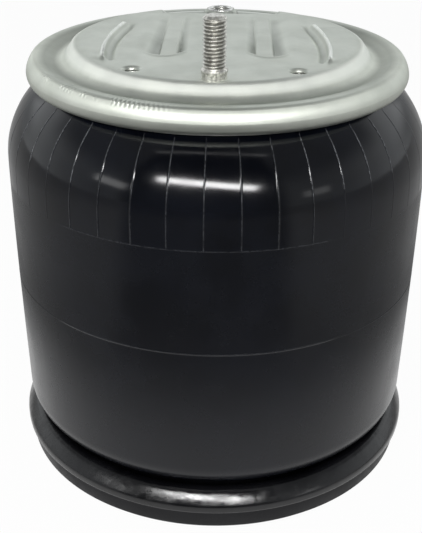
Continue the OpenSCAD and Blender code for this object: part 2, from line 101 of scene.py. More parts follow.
# %% [markdown]
# ## Surfaces from arrays
# Nearly every piece here is turned, drawn or moulded round the spring's axis. So one helper
# carries a profile of (radius, height) points round the axis and gives an array of rows and
# columns, and another one turns such an array into a mesh. A profile goes from the bottom,
# outwards, up and back inwards. Then all faces look outwards, with no repair afterwards.
# Sizes are in millimetres here and become metres when the mesh is made.


# %% Profiles and grids
def towards(angle):
    """The unit vector (cos, sin) of an angle in degrees."""
    return np.array([cos(radians(angle)), sin(radians(angle))])


def arc(centre, radius, a, b, count):
    """count points at centre + radius * (cos, sin), of angles spread evenly from a to b degrees."""
    t = np.radians(np.linspace(a, b, count))
    return np.stack([centre[0] + radius * np.cos(t), centre[1] + radius * np.sin(t)], 1)


def line(p, q, count):
    """Points spread evenly on the straight way from p to q, both ends included."""
    t = np.linspace(0, 1, count)[:, None]
    return np.array(p, float) * (1 - t) + np.array(q, float) * t


def bend(a, k, b, count):
    """A quadratic curve from a to b that is pulled towards k: (1-t)^2 a + 2t(1-t) k + t^2 b."""
    t = np.linspace(0, 1, count)[:, None]
    return (1 - t) ** 2 * np.array(a) + 2 * t * (1 - t) * np.array(k) + t * t * np.array(b)


def chain(*parts):
    """The parts one after the other, without the points that repeat the one before."""
    path = np.concatenate([np.atleast_2d(p) for p in parts])
    step = np.linalg.norm(np.diff(path, axis=0), axis=1)
    return path[np.concatenate([[True], step > 1e-6])]


def turned(profile, angles):
    """Row i, column j is (r cos a, r sin a, z), for profile point i and angle j."""
    r, z = profile[:, :1], profile[:, 1:]
    return np.stack([r * np.cos(angles), r * np.sin(angles), z + 0 * angles], -1)


def circle(count):
    """count angles in radians, evenly round."""
    return np.arange(count) * 2 * np.pi / count


def net(points, wrap=False):
    """Vertices, quads and vertex numbers of a grid whose columns close into rings.

    A row that has shrunk to a point becomes one vertex, and with wrap the last row joins the
    first, so the skin has no open seam."""
    n = points.shape[1]
    pole = np.ptp(points, axis=1).max(axis=1) < 1e-9
    size = np.where(pole, 1, n)
    number = (np.cumsum(size) - size)[:, None] + np.where(pole[:, None], 0, np.arange(n))
    verts = points[~pole[:, None] | (np.arange(n) == 0)]
    here = number if wrap else number[:-1]
    there = np.roll(number, -1, axis=0)[: len(here)]
    quads = np.stack([here, np.roll(here, -1, 1), np.roll(there, -1, 1), there], -1)
    return verts, quads.reshape(-1, 4), number


print("a quarter turn in three points:", arc((0, 0), 1, 0, 90, 3).round(3).tolist())


# %% Meshes and pieces
def to_mesh(name, verts, quads, sharp=40.0):
    """A smooth-shaded mesh; a quad that names one vertex twice becomes a triangle."""
    low, high = quads[:, 0] == quads[:, 1], quads[:, 2] == quads[:, 3]
    faces = quads[~(low | high)].tolist()
    faces += quads[low][:, 1:].tolist() + quads[high][:, :3].tolist()
    mesh = bpy.data.meshes.new(name)
    mesh.from_pydata((np.asarray(verts, float) * 0.001).tolist(), [], faces)
    mesh.polygons.foreach_set("use_smooth", np.ones(len(faces), bool))
    mesh.set_sharp_from_angle(angle=radians(sharp))
    return mesh


made = {}


def place(name, verts, quads, slot, body=None, stands_for=(), sharp=40.0):
    """Puts a mesh in the scene, names its finish, ties it to a body and hides its CAD nodes."""
    piece = into_scene(name, to_mesh(name, verts, quads, sharp))
    if body:
        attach(piece, body)
    if stands_for:
        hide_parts(*stands_for)
    made.setdefault(slot, []).append(piece)
    triangles = sum(len(p.vertices) - 2 for p in piece.data.polygons)
    print(f"{name}: {triangles} triangles, slot {slot}")
    return piece


def ring_piece(name, profile, count, slot, body, stands_for=(), sharp=40.0):
    """A closed section carried round the axis; it needs no end caps."""
    verts, quads, _ = net(turned(profile, circle(count)), wrap=True)
    return place(name, verts, quads, slot, body, stands_for, sharp)


# %% [markdown]
# ## Holes in sheet metal
# The top plate and the base have round holes. A boolean would leave long thin triangles, so the
# hole is cut in the grid itself: the quads near it go, the vertices left round the gap move onto
# the circle, and rings of new vertices join the upper face's gap to the lower face's. The two
# faces share their columns and radii there, so both gaps have the same number of vertices.


# %% Round holes
def pierce(verts, quads, upper, lower, centre, edge):
    """Cuts a round hole. edge lists (distance from the hole's axis, height), from top to bottom.

    upper and lower are the numbers of vertices that lie above each other."""
    edge = np.array(edge, float)
    away = verts[upper][:, :2] - centre
    inside = np.hypot(away[:, 0], away[:, 1]) < edge[0, 0] + 0.3
    gone = np.zeros(len(verts), bool)
    gone[upper[inside]] = gone[lower[inside]] = True
    cut = gone[quads].any(1)
    twin = np.full(len(verts), -1)
    twin[upper] = lower
    rim = np.unique(quads[cut])
    rim = rim[~gone[rim] & (twin[rim] >= 0)]
    way = verts[rim][:, :2] - centre
    angle = np.arctan2(way[:, 1], way[:, 0])
    order = np.argsort(angle)
    rim, angle = rim[order], angle[order]
    x, y = centre[0] + edge[:, :1] * np.cos(angle), centre[1] + edge[:, :1] * np.sin(angle)
    rings = np.stack([x, y, edge[:, 1:] + 0 * angle], -1)
    verts = verts.copy()
    verts[rim], verts[twin[rim]] = rings[0], rings[-1]
    inner = rings[1:-1]
    fresh = len(verts) + np.arange(inner.shape[0] * inner.shape[1]).reshape(inner.shape[:2])
    number = np.concatenate([rim[None], fresh, twin[rim][None]])
    here, there = number[:-1], number[1:]
    wall = np.stack([here, there, np.roll(there, -1, 1), np.roll(here, -1, 1)], -1)
    verts = np.concatenate([verts, inner.reshape(-1, 3)])
    return verts, np.concatenate([quads[~cut], wall.reshape(-1, 4)])


def tidy(verts, quads):
    """Drops the vertices that no quad uses any more."""
    used, number = np.unique(quads, return_inverse=True)
    return verts[used], number.reshape(quads.shape)


def ease(t):
    """3 t^2 - 2 t^3 between 0 and 1, so a slope starts and ends level."""
    t = np.clip(t, 0, 1)
    return t * t * (3 - 2 * t)


def bump(distance, width):
    """A bell curve of the distance, 1 on the line."""
    return np.exp(-((distance / width) ** 2))


# %% [markdown]
# ## The top plate
# A disc of galvanised steel, stamped and then rolled over the sleeve's bead. Its section is a
# rolled rim, a round groove, a slope and a flat platform. On the platform two ribs, two side pads
# and the inlet's boss are pressed up. A revolved sheet has the section; a height map adds the
# pressings, as the press does, by lifting the sheet where the tool pushes.

# %% The plate's section
SHEET, SLOPE = 2.5, radians(55)
RIM, RIM_R, GROOVE_R = np.array([106.5, 252.5]), 8.0, 8.0
GROOVE = RIM + (RIM_R + GROOVE_R) * towards(125)
TOP, EDGE_R = 267.0, 4.0
FOOT = GROOVE + GROOVE_R * towards(-145)
CREST = TOP - EDGE_R + EDGE_R * cos(SLOPE)
EDGE_X = FOOT[0] - (CREST - FOOT[1]) / tan(SLOPE) - EDGE_R * sin(SLOPE)
FIX_R = 78.7
print("platform's flat top ends at radius", round(EDGE_X, 2), "mm")


def plate_side(inset, flat, bends, rolls):
    """The section's upper face moved inwards by inset, from the middle out to the rim's lip.

    The roll is a circle at its back. In front it has a tight top corner, a flank that is nearly
    straight and a small roll below, each of which starts where and as the one before ends."""
    crown, flank, below = (109.0, 257.5), (100.573, 250.429), (107.96, 251.731)
    crown_r, flank_r, below_r = 3.0, 14.0, 6.5
    edge = arc((EDGE_X, TOP - EDGE_R), EDGE_R - inset, 90, 35, 7)
    groove = arc(GROOVE, GROOVE_R + inset, -145, -55, bends)
    back_top = (RIM[0], RIM[1] + RIM_R - inset)
    n = rolls // 6
    return chain(
        np.stack([flat, np.full(len(flat), TOP - inset)], 1), edge, line(edge[-1], groove[0], 5),
        groove, arc(RIM, RIM_R - inset, 125, 90, n),
        line(back_top, (crown[0], crown[1] + crown_r - inset), 3),
        arc(crown, crown_r - inset, 90, 40, n + 2), arc(flank, flank_r - inset, 40, 10, n + 2),
        arc(below, below_r - inset, 10, -60, 2 * n),
    )


INNER_ROWS = 25
near = np.arange(68.0, EDGE_X, 1.03)
middle = np.concatenate([np.linspace(0, 13, 7), np.arange(14, 68, 0.8)])
upper_face = plate_side(0.0, np.concatenate([middle, near]), 13, 30)
lower_face = plate_side(SHEET, np.concatenate([np.linspace(0, 66, INNER_ROWS), near]), 9, 14)
section = np.concatenate([lower_face, upper_face[::-1]])
print("plate section:", len(section), "points")


# %% Heights of the pressings
RIB_X, RIB_HALF = 27.5, 4.4
RECESS = 3.0
BOSS_TOP = TOP - RECESS + 3.4


def rib_height(x, y):
    """A level bar between two valleys, with a low hump outside them.

    Each valley is a ramp down towards the bar, where a wall ends it. They are deepest in front,
    where a curved lip closes them: its place is the square of the distance from u = 30.5."""
    u = np.abs(x)
    across = np.abs(u - RIB_X)
    lip = -37.5 + 8.5 * ((u - 30.5) / 12.0) ** 2
    along = ease((y - lip) / 5.0)
    valley = ease((across - RIB_HALF) / 1.7) * ease((u - 15.5) / 7.0) * ease((43.0 - u) / 9.5)
    depth = 3.1 - 2.0 * ease((y + 24) / 62.0)
    bar = 0.8 * ease((RIB_HALF + 0.8 - across) / 1.6) * ease((y - lip - 6) / 24.0)
    lip_bead = 0.6 * bump(y - lip + 1.0, 1.7) * ease((14.0 - np.abs(u - 29.5)) / 3.0)
    hump = 0.9 * bump(u - 44.5, 4.5) * ease((y + 26) / 14.0)
    fade = 1 - ease((y - 44) / 16.0)
    return (bar - depth * valley * along + lip_bead) * fade + hump * (1 - ease((y - 60) / 9.0))


def pad_height(x, y):
    """A raised segment at each side. Its inner edge is an arc about a point beyond the middle.

    inner is the distance outside that arc; a bead runs along it, and a dip lies before it."""
    x = np.abs(x)
    inner = np.hypot(x + 137.0, y + 20.0) - 199.4
    ends = ease((y + 50) / 7.0) * ease((38 - y) / 12.0)
    outer = EDGE_X + 0.5 - np.hypot(x, y)
    rise = ease(inner / 2.4) * ends * ease(outer / 5.0)
    bead, dip = bump(inner - 2.6, 1.5), bump(inner + 1.6, 2.0) * ends
    return rise * (1.0 + 2.6 * bead) - 1.8 * dip


def recess_floor(x, y):
    """The height that the sheet may not pass: low behind y = 66 and between x = -40 and 40."""
    inside = ease((y - 65.5) / 4.5) * ease((41 - np.abs(x)) / 5.0)
    return TOP - RECESS + 5.5 * (1 - inside)


def boss_top(x, y, top):
    """A round hill about the inlet, level to 9.8 mm from its axis and 11 mm lower at 14 mm."""
    away = np.hypot(x, y - FIX_R)
    return np.where(away < 15, top - 11 * ease((away - 9.8) / 4.4), -1e3)


def soft_larger(a, b, width):
    """The larger of two heights, with the corner between them rounded."""
    return 0.5 * (a + b + np.sqrt((a - b) ** 2 + width**2)) - 0.05 * width


def lifted(points):
    """Adds the pressings, then the recess, then the boss that stands in it."""
    x, y, z = np.moveaxis(points, -1, 0)
    drop = np.where(np.arange(len(points))[:, None] < len(lower_face), SHEET, 0.0)
    from_axis = np.hypot(x, y)
    z = z + np.where(from_axis < EDGE_X + 2, rib_height(x, y) + pad_height(x, y), 0)
    low = -soft_larger(-z, drop - recess_floor(x, y), 0.5)
    z = np.where((y > 60) & (np.abs(x) < 44) & (from_axis < 95), low, z)
    hill = boss_top(x, y, BOSS_TOP - drop)
    z = np.where((hill > 0) & (from_axis < 97), soft_larger(z, hill, 0.8), z)
    return np.stack([x, y, z], -1)


print("beside a rib:", round(float(rib_height(RIB_X + 7, -25.0)), 2), "mm")
print("on a pad:", round(float(pad_height(70.0, 0.0)), 2), "mm")

# %% The plate's mesh
verts, quads, number = net(lifted(turned(section, circle(450))))
zone = np.arange(len(near) + 10)
low_rows, high_rows = INNER_ROWS + zone, len(section) - 1 - len(middle) - zone
upper, lower = number[high_rows].ravel(), number[low_rows].ravel()
gap = np.abs(section[low_rows, 0] - section[high_rows, 0])[: len(near)]
print("hole rows match:", float(gap.max()))

NUTS = [(side * FIX_R * sin(radians(35.3)), -FIX_R * cos(radians(35.3))) for side in (-1, 1)]
dimple = [(6.1, 0), (5.7, 0.12), (5.2, 0.55), (4.7, 1.1), (4.4, 1.6), (4.3, 2.1), (4.35, 2.4),
          (5.0, SHEET), (6.1, SHEET)]
mouth = [(8.7, 0), (8.55, 0.1), (8.55, 2.3), (8.7, SHEET)]
for centre, face, edge in ((NUTS[0], TOP, dimple), (NUTS[1], TOP, dimple),
                           ((0, FIX_R), BOSS_TOP, mouth)):
    edge = [(distance, face - depth) for distance, depth in edge]
    verts, quads = pierce(verts, quads, upper, lower, centre, edge)
place("top_plate", *tidy(verts, quads), "galvanised_sheet", "upper_plate", ["bead_plate"])

# %% [markdown]
# ## Threads
# A thread is a cylinder whose radius follows a wave of the height, and the wave climbs by one
# pitch for each turn. On a grid of rings that is one formula. The wave meets itself after a full
# turn, so the ring closes.


# %% Threaded surfaces
def thread_wave(z, angle, pitch):
    """0 at the roots and 1 at the crests: a triangle wave of z / pitch - angle / turn, cut flat."""
    t = (z / pitch - angle / (2 * np.pi)) % 1.0
    return np.clip(1.35 * (1 - np.abs(2 * t - 1)) - 0.17, 0, 1)


def threaded(profile, count, centre, low, high, root, crest, pitch, fade=1.0):
    """A grid turned about an upright axis through centre, with a thread cut into it.

    The points at radius crest and between the heights low and high move to the thread's wave."""
    x, y, z = np.moveaxis(turned(profile, circle(count)), -1, 0)
    radius = np.hypot(x, y)
    share = ease((z - low) / fade) * ease((high - z) / fade)
    wave = thread_wave(z, np.arctan2(y, x), pitch)
    on = (z > low) & (z < high) & (np.abs(radius - crest) < 0.02)
    new = np.where(on, crest + (root - crest) * (1 - wave) * share, radius)
    scale = new / np.maximum(radius, 1e-9)
    return np.stack([centre[0] + x * scale, centre[1] + y * scale, z], -1)


print("the wave over one pitch:", thread_wave(np.linspace(0, 1, 6), 0.0, 1.0).round(2).tolist())

# %% The stud, with its plain shoulder and its ring
COARSE = 1.954
stud_profile = chain(
    [(0, 262.1), (7.0, 262.1), (7.3, 262.4), (7.3, 264.2), (6.9, 264.5)],
    line((6.9, 264.5), (6.9, 269.9), 6), [(7.05, 270.15), (7.3, 270.45)],
    line((7.3, 270.45), (7.3, 271.6), 4), [(7.1, 271.85), (6.5, 272.2)],
    line((6.35, 272.4), (6.35, 298.6), 155),
    line((6.2, 298.75), (5.0, 299.9), 4), [(4.8, 300.0), (2.4, 300.0), (0, 300.0)],
)
points = threaded(stud_profile, 72, (0.0, -FIX_R), 272.4, 298.7, 5.25, 6.35, COARSE)
verts, quads, _ = net(points)
place("threaded_stud", verts, quads, "zinc_stud", "upper_plate", ["mounting_stud"], 60)

# %% Blind nuts and the inlet's bush
nut_profile = chain(
    [(0, 248.5), (6.0, 248.5), (7.0, 249.5)], line((7.0, 249.5), (7.0, 264.1), 6),
    arc((6.6, 264.1), 0.4, 0, 90, 4), arc((4.4, 264.1), 0.4, 90, 180, 4),
    line((4.0, 264.1), (4.0, 251.5), 110), [(2.4, 251.5), (0, 251.5)],
)
for side, centre in zip(("left", "right"), NUTS):
    points = threaded(nut_profile, 64, centre, 252.0, 264.4, 4.75, 4.0, 1.5875, 0.6)
    verts, quads, _ = net(points)
    place(f"threaded_nut_{side}", verts, quads, "zinc_fixing", "upper_plate",
          [f"blind_nut_{side}"], 60)

bush_profile = chain(
    line((5.6, 267.3), (5.6, 254.6), 100), [(6.1, 254.0), (8.0, 254.0), (8.5, 254.5)],
    line((8.5, 254.5), (8.5, 267.5), 6), arc((8.0, 267.5), 0.5, 0, 90, 4),
    [(6.3, 268.0), (5.75, 267.6)],
)
points = threaded(bush_profile, 72, (0.0, FIX_R), 254.4, 267.4, 6.4, 5.6, 1.411, 0.6)
verts, quads, _ = net(points, wrap=True)
place("inlet_bush", verts, quads, "zinc_fixing", "upper_plate", ["air_inlet"], 60)

# %% [markdown]
# ## The sleeve
# The sleeve is one moulded tube of rubber and cord, and here it is three pieces that meet: the
# outer wall, the fold that rolls, and the wall that lies on the piston. The mould leaves its
# marks on the outer wall: upright vent lines near the top, a ring that joins their ends, and the
# parting line at mid height. They are ridges a few tenths of a millimetre high, so they are in
# the surface, with extra columns and rows only where a ridge runs.

# %% Outer wall
LOW_R, MAX_R, NECK_R, WALL = 126.4, 128.9, 54.0, 6.0
NECK = (MAX_R - NECK_R, 200.0)
VENT_Z, PARTING_Z, VENTS = 188.7, 125.0, 41
FOLD = (109.4, 44.72)


def wall_radius(z):
    """The wall leans out by a quarter of a sine wave, from just above the fold to the neck."""
    share = np.clip((z - FOLD[1]) / (NECK[1] - FOLD[1]), 0, 1)
    return LOW_R + (MAX_R - LOW_R) * np.sin(np.pi / 2 * share)


def inward(path, distance):
    """The path moved to its left: each point goes along the normal of its neighbours' chord."""
    d = np.gradient(path, axis=0)
    n = np.stack([-d[:, 1], d[:, 0]], 1)
    return path + distance * n / np.linalg.norm(n, axis=1, keepdims=True)


fine = np.array([-1.6, -0.9, -0.5, -0.25, 0.0, 0.25, 0.5, 0.9, 1.6])
levels = np.concatenate([np.linspace(FOLD[1], 196, 40), VENT_Z + fine, PARTING_Z + fine])
levels = np.unique(levels)
neck = arc(NECK, NECK_R, 0, 48, 38)
into_rim = bend(neck[-1], neck[-1] + 11.0 * towards(138), RIM + (2.16, -2.16), 12)
outer_path = chain(np.stack([wall_radius(levels), levels], 1), neck[3:], into_rim)
inner_path = inward(outer_path, WALL)[::3][::-1]
inner_path[-1] = (LOW_R - WALL, FOLD[1])
sleeve_section = chain(outer_path, inner_path)
step = 2 * np.pi / VENTS
ridge = np.array([-1.7, -1.05, -0.6, -0.35, -0.17, 0.0, 0.17, 0.35, 0.6, 1.05, 1.7]) / MAX_R
between = np.linspace(ridge[-1], step - ridge[-1], 6)[1:-1]
vent_start = radians(-90 + SWING - 2.85)
columns = vent_start + np.arange(VENTS)[:, None] * step + np.concatenate([ridge, between])
columns = columns.ravel()
points = turned(sleeve_section, columns)
print("sleeve section:", len(sleeve_section), "points, columns:", len(columns))

# %% [markdown]
# Seen from the front, the marks look pale in front and dark at the sides. So two masks over the
# height and the angle say how high each ridge stands and how pale or dark it is: the pale is a
# painted glint, a lighter colour in front and up high, where the light falls, and the dark is a
# duller roughness. The mesh carries the second mask as an attribute that the rubber's finish reads.

# %% Mould marks
outside = (np.arange(len(sleeve_section)) < len(outer_path))[:, None]
z = points[..., 2]
off_line = (columns - vent_start + step / 2) % step - step / 2
vents = bump(off_line * MAX_R, 0.27) * ease((z - VENT_Z + 0.6) / 1.2) * ease((244.5 - z) / 3)
vent_ring, parting = bump(z - VENT_Z, 0.3), bump(z - PARTING_Z, 0.35)
lift = 0.3 * np.maximum(vents, np.maximum(0.55 * vent_ring, parting)) * outside
from_front = np.abs((np.degrees(columns) + 95 + 180) % 360 - 180)
front = ease((40 - from_front) / 6)
high = ease((z - 212) / 6) * ease((78 - from_front) / 20)
high *= 0.45 + 0.55 * ease((from_front - 22) / 12)
lift *= 1 - 0.8 * (1 - front) * (1 - high)
# painted glints: the marks get a lighter colour in front and up high, where the light falls
rings = np.maximum(0.15 * vent_ring, 0.07 * parting) * front
painted_glint_share = np.maximum(vents * np.maximum(high, 0.19 * front), rings)
dark = np.maximum(vents * (1 - high), parting) * (1 - front)
radius = np.hypot(points[..., 0], points[..., 1])
points[..., :2] *= ((radius + lift) / radius)[..., None]
verts, quads, _ = net(points, wrap=True)
wall = place("sleeve_wall", verts, quads, "sleeve_rubber", None, ["sleeve_outer_wall"], 80)
mark = wall.data.attributes.new("mark_painted_glint_and_dullness", "FLOAT", "POINT")
mark.data.foreach_set("value", ((painted_glint_share - dark) * outside).ravel().astype(np.float32))

# %% [markdown]
# The wall joins a plate that moves and a fold that moves half as fast. Blender has to bend it
# between two bodies, and bake_transform() gives it the weight for that: a smooth step of the
# height. The lower end lies at the middle of the step, where the weight is one half, as the
# fold's is.

# %% Motion of the outer wall
RIM_Z = 0.245
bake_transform(wall, "piston", "upper_plate", start=(0, 0, 2 * FOLD[1] / 1000 - RIM_Z), end=(0, 0, RIM_Z))
share = np.zeros(len(wall.data.vertices), np.float32)
wall.data.attributes["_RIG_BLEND"].data.foreach_get("value", share)
limits = [round(float(weight), 3) for weight in (share.min(), share.max())]
print("weight at the fold and at the rim:", limits)

# %% Fold, piston-side wall and lower bead
fold_section = chain(arc(FOLD, 17, -180, 0, 40), arc(FOLD, 11, 0, -180, 30))
ring_piece("rolled_fold", fold_section, 200, "sleeve_rubber", "lobe", ["rolling_lobe"], 80)

foot = FOLD[1]
roll_section = chain(line((92.0, foot), (98.0, foot), 2), line((98.0, foot), (98.0, 152), 24),
                     line((98.0, 152), (92.0, 152), 2), line((92.0, 152), (92.0, foot), 6))
rolled_on = ring_piece("wall_on_piston", roll_section[:-1], 160, "sleeve_rubber", "piston")
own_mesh(rolled_on)

crown_section = chain(arc((72, 152), 20, 0, 90, 12), arc((58, 179), 7, -90, -368, 36),
                      arc((72, 152), 26, 90, 0, 14))
ring_piece("lower_bead", crown_section, 160, "sleeve_rubber", "piston", ["sleeve_inner_wall"], 50)

# %% [markdown]
# ## The piston
# A deep-drawn steel cup, painted gloss black. Its foot flares out into a rounded shoulder under
# the sleeve's fold, and turns in on the base. The section has true arcs, with many points where
# it bends tightly, because a gloss surface shows every corner in its reflections.

# %% Piston shell
HIP, HIP_R = np.array([125.0, 17.3]), 5
FLANK_R, LOW_A, HIGH_A, SHOULDER_R = 45.0, 33.5, 42.0, 6.0
FLANK = HIP + (HIP_R - FLANK_R) * towards(LOW_A)
SHOULDER = FLANK + (FLANK_R - SHOULDER_R) * towards(HIGH_A)
GUTTER, GUTTER_R = (106.0, 35.3), 14
BASE_TOP, CROWN, PISTON_R = 14, (72, 152), 92


def shell_side(inset, dense):
    """The outer face moved inwards by inset, from the turned-in foot to the crown's hole."""
    n = 2 if dense else 1
    return chain(
        line((114.5, BASE_TOP + inset), (128.4 - inset, BASE_TOP + inset), 3 * n),
        *([arc((128.4, 15.6), 1.6, -90, 0, 8)] if dense else [(127.0, 17.0)]),
        arc(HIP, HIP_R - inset, 0, LOW_A, 6 * n),
        arc(FLANK, FLANK_R - inset, LOW_A, HIGH_A, 7 * n),
        arc(SHOULDER, SHOULDER_R - inset, HIGH_A, 135, 12 * n),
        arc(GUTTER, GUTTER_R + inset, -45, -180, 14 * n),
        line((PISTON_R - inset, 35.4), (PISTON_R - inset, CROWN[1]), 8 * n),
        arc(CROWN, 20 - inset, 0, 90, 9 * n),
        line((CROWN[0], 172 - inset), (8.5, 172 - inset), 4 * n),
    )


shell_section = chain(shell_side(0, True), shell_side(3.0, False)[::-1])
ring_piece("piston_cup", shell_section, 240, "gloss_black_paint", "piston", ["piston_shell"], 50)

# %% [markdown]
# A rubber stop stands on the piston's crown, where it ends the stroke. Its head is 3 mm lower here
# than the solid's: the real rubber is squeezed by that much when the plate's valleys come down.

# %% Rubber stop
STOP_TOP, STOP_ROUND = 257.0, 13.0
stop_profile = chain(
    [(0, 206), (26, 206), (26, 183), (17.6, 183), (17.6, 177), (44, 177), (45, 178)],
    bend((45, 188), (35, 196), (35, 226), 14), bend((35, 226), (35, 234), (39, 236), 8),
    arc((39 - STOP_ROUND, STOP_TOP - STOP_ROUND), STOP_ROUND, 0, 90, 12), [(0, STOP_TOP)],
)
verts, quads, _ = net(turned(stop_profile, circle(96)))
place("rubber_stop", verts, quads, "bumper_rubber", "piston", ["bumper"])

# %% [markdown]
# The base is a plate with a ring round it, welded to the cup's foot, and four threaded nuts fill
# the holes in its floor. From the front only a black edge shows, but the underside is plain to see
# when the part is turned over.

# %% Base
web = np.arange(50.0, 77.0, 1.3)
base_lower = chain([(0, 0), (25, 0)], np.stack([web, 0 * web], 1),
                   [(100, 0), (123.6, 0), (124.2, 0.2), (126.8, 2.8), (127, 3.4), (127, 8)],
                   [(127, 13.2), (126.8, 13.8), (126.3, 14)])
base_upper = chain([(120, 14), (114.9, 14), (114.5, 13.6), (114.5, 9), (114.5, 5.5), (114, 5)],
                   [(98, 5)], np.stack([web, 0 * web + 5], 1)[::-1], [(25, 5), (0, 5)])
base_section = np.concatenate([base_lower, base_upper])
verts, quads, number = net(turned(base_section, circle(240)))
zone = np.arange(len(web))
upper, lower = number[len(base_section) - 3 - zone].ravel(), number[2 + zone].ravel()
corners = [63.5 * towards(angle) for angle in (45, 135, 225, 315)]
for centre in corners:
    edge = [(8.6, 5), (8.55, 4.6), (8.55, 0.5), (8.6, 0)]
    verts, quads = pierce(verts, quads, upper, lower, centre, edge)
place("base_ring", *tidy(verts, quads), "satin_black_paint", "piston", ["base_plate"])


# %% Its four nuts
def hex_radius(angle, flats):
    """Distance from the middle to a regular hexagon's edge, in the direction of the angle."""
    return flats / 2 / np.cos((angle + np.pi / 6) % (np.pi / 3) - np.pi / 6)


weld_profile = chain(
    line((5.35, 16.6), (5.35, 0.4), 90), [(5.9, 0.0), (8.2, 0.0), (8.5, 0.3), (8.5, 5.0)],
    [(12.0, 5.0), (12.6, 5.4), (12.6, 16.0), (11.2, 17.0), (5.8, 17.0)],
)
nuts = []
for centre in corners:
    points = threaded(weld_profile, 72, centre, 0.3, 16.7, 6.2, 5.35, COARSE, 0.6)
    away = points[..., :2] - centre
    radius = np.hypot(away[..., 0], away[..., 1])
    limit = hex_radius(np.arctan2(away[..., 1], away[..., 0]), 22.0)
    away *= np.where(radius > 10, np.minimum(radius, limit) / radius, 1)[..., None]
    points[..., :2] = away + centre
    nuts.append(net(points, wrap=True))
starts = np.cumsum([0] + [len(nut[0]) for nut in nuts])
verts = np.concatenate([nut[0] for nut in nuts])
quads = np.concatenate([nut[1] + start for nut, start in zip(nuts, starts)])
place("weld_nuts", verts, quads, "zinc_fixing", "piston", ["base_weld_nuts"], 30)

# %% [markdown]
# ## Finishes
# A finish is a shader: the Principled BSDF with procedural patterns for what is uneven in it.
# Patterns that several finishes share are node groups with named inputs, built once. All of them
# read Object coordinates, in metres, so the grain has the same size on every piece.


# %% Node helpers
def put(tree, socket, value):
    """Links the value to the socket if it is a socket too, or else sets the socket to it."""
    if isinstance(value, bpy.types.NodeSocket):
        tree.links.new(value, socket)
    else:
        socket.default_value = value


def add(tree, kind, inputs=(), **settings):
    """A new shader node, with its settings and its sockets' values or links."""
    node = tree.nodes.new(kind if kind.startswith("Node") else "ShaderNode" + kind)
    for key, value in settings.items():
        setattr(node, key, value)
    for key, value in dict(inputs).items():
        put(tree, node.inputs[key], value)
    return node


def calc(tree, operation, a, b=0.0, c=0.0, **settings):
    """One step of arithmetic between sockets and numbers."""
    return add(tree, "Math", {0: a, 1: b, 2: c}, operation=operation, **settings).outputs[0]


def apart(tree, a, b):
    """The distance between two values."""
    return calc(tree, "ABSOLUTE", calc(tree, "SUBTRACT", a, b))


def between_values(tree, mask, low, high):
    """low + mask * (high - low)."""
    return calc(tree, "MULTIPLY_ADD", mask, high - low, low)


SOFT = "SMOOTHSTEP"


def ramp(tree, value, start, end, low=0.0, high=1.0, kind="LINEAR"):
    """low where the value is start, high where it is end, and level beyond both."""
    ends = {"Value": value, "From Min": start, "From Max": end, "To Min": low, "To Max": high}
    return add(tree, "MapRange", ends, interpolation_type=kind).outputs[0]


def mix(tree, factor, a, b):
    """Colour a where the factor is 0 and colour b where it is 1."""
    return add(tree, "Mix", {"Factor": factor, 6: a, 7: b}, data_type="RGBA").outputs[2]


def noise(tree, where, scale, detail, roughness=0.5):
    """Noise between 0 and 1."""
    ends = {"Vector": where, "Scale": scale, "Detail": detail, "Roughness": roughness}
    return add(tree, "TexNoise", ends).outputs["Fac"]


def spot_of(tree):
    """Object coordinates, in metres."""
    return add(tree, "TexCoord").outputs["Object"]


def split(tree, vector):
    """The three sockets X, Y and Z of a vector."""
    return add(tree, "SeparateXYZ", {0: vector}).outputs


# %% [markdown]
# Three patterns do most of the work. *Grain* is fine noise for a bump and for roughness. *Cloud*
# is slow noise that makes a colour a little uneven, as zinc, oil and dust do. *Scuff* marks the
# few thin scratches and rubs that handling leaves.

# %% Shared patterns
FLOAT, COLOUR = "NodeSocketFloat", "NodeSocketColor"


def group(name, inputs, outputs):
    """An empty node group with named sockets; each input has its starting value."""
    tree = bpy.data.node_groups.new(name, "ShaderNodeTree")
    for key, (kind, value) in inputs.items():
        socket = tree.interface.new_socket(key, in_out="INPUT", socket_type=kind)
        socket.default_value = value
    for key, kind in outputs.items():
        tree.interface.new_socket(key, in_out="OUTPUT", socket_type=kind)
    return tree, add(tree, "NodeGroupInput").outputs, add(tree, "NodeGroupOutput").inputs


grain, given, gives = group("grain", {"Scale": (FLOAT, 900.0), "Detail": (FLOAT, 3.0)},
                            {"Height": FLOAT})
put(grain, gives["Height"], noise(grain, spot_of(grain), given["Scale"], given["Detail"]))

cloud, given, gives = group(
    "cloud",
    {"Scale": (FLOAT, 30.0), "Low": (FLOAT, 0.35), "High": (FLOAT, 0.65),
     "Colour A": (COLOUR, (0, 0, 0, 1)), "Colour B": (COLOUR, (1, 1, 1, 1))},
    {"Mask": FLOAT, "Colour": COLOUR},
)
slow = noise(cloud, spot_of(cloud), given["Scale"], 5.0, 0.6)
mask = ramp(cloud, slow, given["Low"], given["High"], kind=SOFT)
put(cloud, gives["Mask"], mask)
put(cloud, gives["Colour"], mix(cloud, mask, given["Colour A"], given["Colour B"]))

scuff, given, gives = group("scuff", {"Scale": (FLOAT, 60.0), "Amount": (FLOAT, 0.3)},
                            {"Mask": FLOAT})
where = spot_of(scuff)
stretch = add(scuff, "Mapping", {"Vector": where, "Rotation": (0.3, 0.5, 0.8), "Scale": (1, 14, 3)})
lines = noise(scuff, stretch.outputs[0], given["Scale"], 4.0)
spots = noise(scuff, where, 25.0, 2.0)
sharp = calc(scuff, "MULTIPLY", calc(scuff, "SUBTRACT", lines, 0.62), 9.0)
some = calc(scuff, "MULTIPLY", calc(scuff, "SUBTRACT", spots, 0.5), 5.0)
both = calc(scuff, "MULTIPLY", sharp, some, use_clamp=True)
put(scuff, gives["Mask"], calc(scuff, "MULTIPLY", both, given["Amount"]))
print("shared patterns:", [g.name for g in bpy.data.node_groups])


